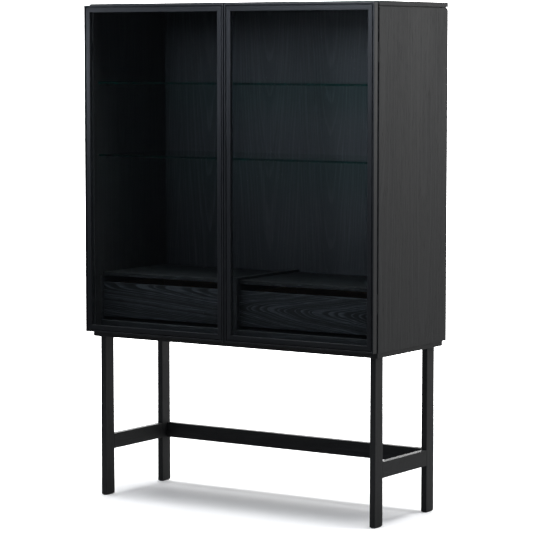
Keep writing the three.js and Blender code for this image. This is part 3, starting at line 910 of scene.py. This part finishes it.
class CABINET_OT_drawer_bay(bpy.types.Operator):
    """Make the divider, the bay floors, the decks, the liners and the runners"""

    bl_idname = "cabinet.drawer_bay"
    bl_label = "Drawer Bay"

    def execute(self, context):
        board("bay_divider", Y)
        for side, hand in SIDES:
            board(f"bay_floor_{side}", X)
            deck = board(f"bay_deck_{side}", X)
            # The decks wear the darker copy of the interior wood, as painted shade.
            deck.data.materials[0] = finish("deck_wood")
            board(f"bay_liner_{side}", Y)
            for place, inwards in (("inner", hand), ("outer", -hand)):
                node = f"runner_{side}_{place}"
                board(node, Y)
                self.fix_runner(context, node, inwards)
        return {"FINISHED"}

    def fix_runner(self, context, node, inwards):
        low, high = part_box(node)
        face = faces_along_x(node, inwards)[1]
        middle = (low.z + high.z) / 2
        margin = 0.03
        radius = context.scene.cabinet_hardware.small_screw
        sunk = face - inwards * radius * SCREW_RISE
        places = [point(sunk, y, middle) for y in spaced(low.y, high.y, 4, margin)]
        screws(f"{node}_screws", "cabinet", "zinc_steel", places, point(inwards, 0, 0), radius)


class CABINET_OT_shelves(bpy.types.Operator):
    """Make the glass shelves and the supports under them"""

    bl_idname = "cabinet.shelves"
    bl_label = "Glass Shelves"

    def execute(self, context):
        edges = context.scene.cabinet_edges
        for level in ("lower", "upper"):
            node = f"glass_shelf_{level}"
            low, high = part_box(node)
            margin = 0.05
            board(node, radius=edges.glass, segments=2)
            for side, hand in SIDES:
                for end, y in zip(("front", "rear"), spaced(low.y, high.y, 2, margin)):
                    self.support(context, f"shelf_support_{level}_{side}_{end}", hand, y, low.z)
        return {"FINISHED"}

    def support(self, context, name, hand, y, underside):
        """An angle on a pin in the case side, with a ledge under the glass."""
        wall = faces_along_x("case_side_left" if hand < 0 else "case_side_right", hand)[0]
        reach = context.scene.cabinet_hardware.support
        play = context.scene.cabinet_edges.play
        half, sheet, drop, boss, proud, gap = 0.0055, 0.0012, 0.011, 0.0025, 0.0008, 0.0001
        corner_radius = 0.003
        pin_level = 0.62  # of the way down the angle
        bm = bmesh.new()
        wall_side = wall - hand * gap
        top = underside - play
        for depth, start, end in ((reach, -sheet, 0), (sheet, -drop, -sheet)):
            inside = wall_side - hand * depth
            block(point(wall_side, y - half, top + start), point(inside, y + half, top + end), bm)
        bmesh.ops.remove_doubles(bm, verts=bm.verts, dist=CLOSE)
        tip = wall_side - hand * reach
        ends = [edge for edge in edges_along(bm, Z) if abs(edge.verts[0].co.x - tip) < CLOSE]
        ease(bm, ends, corner_radius, 5)
        centre = point(wall_side - hand * sheet, y, top - drop * pin_level)
        rod(bm, centre + point(hand * sheet / 2, 0, 0), centre - point(hand * proud, 0, 0), boss, 20)
        make_piece(name, bm, "cabinet", "black_steel")


class CABINET_OT_doors(bpy.types.Operator):
    """Make the mitred door frames, the panes and the glazing beads"""

    bl_idname = "cabinet.doors"
    bl_label = "Doors"

    def execute(self, context):
        edges = context.scene.cabinet_edges
        for side, hand in SIDES:
            corners = self.corners(side)
            section = self.frame_section(context, corners["width"], corners["rear"] - corners["front"])
            for turn, member in enumerate(("meeting_stile", "top_rail", "hinge_stile", "bottom_rail")):
                node = f"door_{side}_{member}"
                bm = self.member(context, corners, turn, hand, section, 0, edges.frame)
                stand_for(node, bm, X if member.endswith("rail") else Z)
            board(f"door_{side}_pane", radius=edges.glass, segments=2)
            self.beads(context, side, hand, corners)
        return {"FINISHED"}

    def corners(self, side):
        """Where a door ends on each side, and how wide its frame is."""
        low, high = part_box(f"door_{side}_meeting_stile")
        return {
            "near": min(abs(low.x), abs(high.x)),
            "far": max(abs(corner.x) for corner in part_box(f"door_{side}_hinge_stile")),
            "bottom": low.z,
            "top": high.z,
            "front": low.y,
            "rear": high.y,
            "width": high.x - low.x,
        }

    def frame_section(self, context, width, thickness):
        """Lip, groove, band and pane rebate, from the outer edge inwards and from the face backwards."""
        sizes = context.scene.cabinet_door
        band = sizes.lip + sizes.groove
        seat = width - sizes.rebate
        return [
            (0, 0), (sizes.lip, 0), (sizes.lip, sizes.groove_depth), (band, sizes.groove_depth),
            (band, sizes.band_drop), (width, sizes.band_drop), (width, sizes.recess), (seat, sizes.recess),
            (seat, thickness), (sizes.chamfer, thickness), (0, thickness - sizes.chamfer),
        ]

    def member(self, context, corners, turn, hand, section, inset, radius):
        """A frame member or a bead. turn is its place round the door, inset how far in it lies."""
        mitre = context.scene.cabinet_door.mitre
        near, far = corners["near"] + inset, corners["far"] - inset
        bottom, top = corners["bottom"] + inset, corners["top"] - inset
        span = top - bottom if turn % 2 == 0 else far - near
        bm = prism(section, Z, (0, span))
        ease(bm, edges_along(bm, Z), radius, context.scene.cabinet_edges.segments)
        for at, normal in ((mitre, (1, 0, -1)), (span - mitre, (1, 0, 1))):
            cut_off(bm, point(0, 0, at), normal)
        x, z = ((near, bottom), (near, top), (far, top), (far, bottom))[turn]
        place = Matrix.Translation((x, corners["front"], z)) @ Matrix.Rotation(turn * math.pi / 2, 4, "Y")
        bmesh.ops.transform(bm, matrix=Matrix.Diagonal((hand, 1, 1, 1)) @ place, verts=bm.verts)
        bmesh.ops.recalc_face_normals(bm, faces=bm.faces)
        return bm

    def beads(self, context, side, hand, corners):
        """Four beads that hold the pane in its rebate from behind."""
        sizes = context.scene.cabinet_door
        play = context.scene.cabinet_edges.play
        pane_low, pane_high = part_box(f"door_{side}_pane")
        face = pane_high.y - corners["front"] + play
        reach = sizes.rebate - 2 * play
        steps = 5
        section = [(0, face), (reach, face)]
        for step in range(steps + 1):
            swing = step / steps * math.pi / 2
            section.append((
                reach - sizes.bead_round * (1 - math.cos(swing)),
                face + sizes.bead - sizes.bead_round * (1 - math.sin(swing)),
            ))
        section.append((0, face + sizes.bead))
        inset = corners["width"] - sizes.rebate + play
        for turn, name in enumerate(("meeting", "top", "hinge", "bottom")):
            bm = self.member(context, corners, turn, hand, section, inset, context.scene.cabinet_edges.metal)
            grain = Z if turn % 2 == 0 else X
            make_piece(f"bead_{side}_{name}", bm, f"door_{side}", "door_frame_wood", grain)


class CABINET_OT_hinges(bpy.types.Operator):
    """Make the butt hinges: leaves with their knuckles, pins and screws"""

    bl_idname = "cabinet.hinges"
    bl_label = "Hinges"

    def execute(self, context):
        for side, hand in SIDES:
            axis = Vector(JOINTS[f"door_{side}_hinge"]["pos_m"])
            for level in ("upper", "lower"):
                for leaf, first, towards in (("case_leaf", 0, 1), ("door_leaf", 1, -1)):
                    node = f"hinge_{side}_{level}_{leaf}"
                    self.leaf(context, node, axis, hand, first, towards)
        return {"FINISHED"}

    def leaf(self, context, node, axis, hand, first, towards):
        """A leaf whose plate lies behind the axis on the case, or in front of it on the door."""
        hardware = context.scene.cabinet_hardware
        edges = context.scene.cabinet_edges
        low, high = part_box(node)
        plate_end, knuckle_end = faces_along_x(node, hand)
        radius = hand * (knuckle_end - axis.x)
        knuckle_gap, corner_radius, screw_margin = 0.0008, 0.0016, 0.009
        knuckle_rim, pin_rim = 0.0003, 0.0006
        plate_start = axis.x - hand * (radius + knuckle_gap)
        face = high.y if towards > 0 else low.y
        near = face - towards * hardware.leaf
        bm = block(point(plate_end, face, low.z), point(plate_start, near, high.z))
        outer = [edge for edge in edges_along(bm, Y) if abs(edge.verts[0].co.x - plate_end) < CLOSE]
        ease(bm, outer, corner_radius, 5)
        ease_all(bm, edges.metal, 2)
        pitch = (high.z - low.z) / hardware.knuckles
        gap = 0.0002
        for number in range(first, hardware.knuckles, 2):
            start = low.z + number * pitch + gap
            end = start + pitch - 2 * gap
            block(point(plate_start, face, start), point(axis.x, near, end), bm)
            knuckle = rod(bm, point(axis.x, axis.y, start), point(axis.x, axis.y, end), radius)
            ease(bm, rims(knuckle), knuckle_rim, 2)
        if first:
            pin = rod(bm, point(axis.x, axis.y, low.z), point(axis.x, axis.y, high.z), hardware.pin, 20)
            ease(bm, rims(pin), pin_rim, 3)
        stand_for(node, bm)
        middle = (plate_end + plate_start) / 2
        places = [point(middle, near, z) for z in spaced(low.z, high.z, 3, screw_margin)]
        outwards = point(0, -towards, 0)
        screws(f"{node}_screws", BODY_OF[node], "black_steel", places, outwards, hardware.small_screw)


class CABINET_OT_catches(bpy.types.Operator):
    """Make the magnetic catches, their strike plates and the door buffers"""

    bl_idname = "cabinet.catches"
    bl_label = "Catches"

    def execute(self, context):
        for side, hand in SIDES:
            self.catch(context, side)
            self.strike(context, side)
            self.buffer(context, side, hand)
        return {"FINISHED"}

    def catch(self, context, side):
        """A plastic housing with two steel poles that stand just proud of it."""
        node = f"catch_{side}"
        low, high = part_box(node)
        board(node, radius=0.001, segments=3)
        poles = bmesh.new()
        half, margin, proud, inset, rim = 0.0006, 0.004, 0.0003, 0.0035, 0.0001
        for x in spaced(low.x, high.x, 2, inset):
            corner = point(x - half, low.y - proud, low.z + margin)
            block(corner, point(x + half, low.y + proud, high.z - margin), poles)
        make_piece(f"catch_{side}_poles", ease_all(poles, rim, 2), "cabinet", "zinc_steel")

    def strike(self, context, side):
        node = f"strike_plate_{side}"
        corner_radius = 0.002
        bm = block(*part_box(node))
        ease(bm, edges_along(bm, Y), corner_radius, 5)
        ease_all(bm, context.scene.cabinet_edges.metal, 2)
        stand_for(node, bm)

    def buffer(self, context, side, hand):
        """A rubber buffer on the case floor that keeps a door from the case at its lower corner."""
        radius = context.scene.cabinet_hardware.buffer
        play = context.scene.cabinet_edges.play
        floor_low, floor_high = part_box("case_floor")
        door_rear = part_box(f"door_{side}_bottom_rail")[1].y
        height = (floor_low.z + floor_high.z) / 2
        near = min(abs(corner.x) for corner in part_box(f"catch_{side}"))
        x = hand * (near + 2 * radius)
        rim = 0.0012
        bm = bmesh.new()
        rod(bm, point(x, floor_low.y - play / 3, height), point(x, door_rear + play, height), radius, 24)
        ease_all(bm, rim, 3)
        make_piece(f"door_buffer_{side}", bm, "cabinet", "black_plastic")


class CABINET_OT_drawers(bpy.types.Operator):
    """Make the two drawers: front, sides, back and bottom"""

    bl_idname = "cabinet.drawers"
    bl_label = "Drawers"

    def execute(self, context):
        for side, hand in SIDES:
            self.front(context, side)
            for place, inwards in (("inner", hand), ("outer", -hand)):
                self.side(context, side, place, inwards)
            for panel in ("back", "bottom"):
                board(f"drawer_{side}_{panel}", X, radius=context.scene.cabinet_edges.frame)
        return {"FINISHED"}

    def groove_levels(self, context, side):
        """Low and high level of the groove for the bottom panel."""
        play = context.scene.cabinet_edges.play
        low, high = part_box(f"drawer_{side}_bottom")
        return low.z - play, high.z + play

    def front(self, context, side):
        """A front with broad cathedral grain, grooved behind for the bottom panel."""
        node = f"drawer_{side}_front"
        edges = context.scene.cabinet_edges
        low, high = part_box(node)
        groove_low, groove_high = self.groove_levels(context, side)
        groove_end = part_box(f"drawer_{side}_bottom")[0].y - edges.play
        outline = [
            (low.y, low.z), (high.y, low.z), (high.y, groove_low), (groove_end, groove_low),
            (groove_end, groove_high), (high.y, groove_high), (high.y, high.z), (low.y, high.z),
        ]
        bm = ease_all(prism(outline, X, (low.x, high.x)), edges.board, edges.segments)
        hearts = {"left": (0.050, 0.040, 0.45), "right": (0.004, 0.024, 1)}
        stand_for(node, bm, X, pith=hearts[side])

    def side(self, context, side, place, inwards):
        """A side with a groove outside for its runner and a groove inside for the bottom panel."""
        node = f"drawer_{side}_{place}_side"
        edges = context.scene.cabinet_edges
        low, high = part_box(node)
        outer, inner = faces_along_x(node, inwards)
        groove_low, groove_high = self.groove_levels(context, side)
        panel_end = faces_along_x(f"drawer_{side}_bottom", inwards)[0] - inwards * edges.play
        runner = f"runner_{side}_{place}"
        runner_low, runner_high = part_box(runner)
        above, beside = 0.001, 0.0007
        runner_end = faces_along_x(runner, inwards)[1] + inwards * beside
        outline = [
            (outer, low.z), (inner, low.z), (inner, groove_low), (panel_end, groove_low),
            (panel_end, groove_high), (inner, groove_high), (inner, high.z), (outer, high.z),
            (outer, runner_high.z + above), (runner_end, runner_high.z + above),
            (runner_end, runner_low.z - above), (outer, runner_low.z - above),
        ]
        bm = ease_all(prism(outline, Y, (low.y, high.y)), edges.frame, edges.segments)
        stand_for(node, bm, Y)


# ----------------------------------------
# Sidebar and registration


class CABINET_PT_sidebar(bpy.types.Panel):
    """The groups of pieces and the sizes behind them"""

    bl_idname = "CABINET_PT_sidebar"
    bl_label = "Apothecary Cabinet"
    bl_space_type = "VIEW_3D"
    bl_region_type = "UI"
    bl_category = "Cabinet"

    def draw(self, context):
        for operator in OPERATORS:
            self.layout.operator(operator.bl_idname)
        for name, settings in SETTINGS.items():
            box = self.layout.box()
            box.label(text=settings.bl_rna.name)
            for prop in settings.__annotations__:
                box.prop(getattr(context.scene, name), prop)


SETTINGS = {
    "cabinet_edges": CabinetEdges,
    "cabinet_door": CabinetDoor,
    "cabinet_hardware": CabinetHardware,
    "cabinet_colours": CabinetColours,
    "cabinet_studio": CabinetStudio,
}
OPERATORS = (
    CABINET_OT_stage,
    CABINET_OT_leg_frame,
    CABINET_OT_case,
    CABINET_OT_drawer_bay,
    CABINET_OT_shelves,
    CABINET_OT_doors,
    CABINET_OT_hinges,
    CABINET_OT_catches,
    CABINET_OT_drawers,
)


def register():
    for made in (*SETTINGS.values(), *OPERATORS, CABINET_PT_sidebar):
        bpy.utils.register_class(made)
    for name, settings in SETTINGS.items():
        setattr(bpy.types.Scene, name, PointerProperty(type=settings))


def unregister():
    for name in SETTINGS:
        delattr(bpy.types.Scene, name)
    for made in (CABINET_PT_sidebar, *reversed(OPERATORS), *reversed(SETTINGS.values())):
        bpy.utils.unregister_class(made)


def main():
    register()
    bpy.ops.cabinet.stage()
    bpy.ops.cabinet.leg_frame()
    bpy.ops.cabinet.case()
    bpy.ops.cabinet.drawer_bay()
    bpy.ops.cabinet.shelves()
    bpy.ops.cabinet.doors()
    bpy.ops.cabinet.hinges()
    bpy.ops.cabinet.catches()
    bpy.ops.cabinet.drawers()


if __name__ == "__main__":
    main()
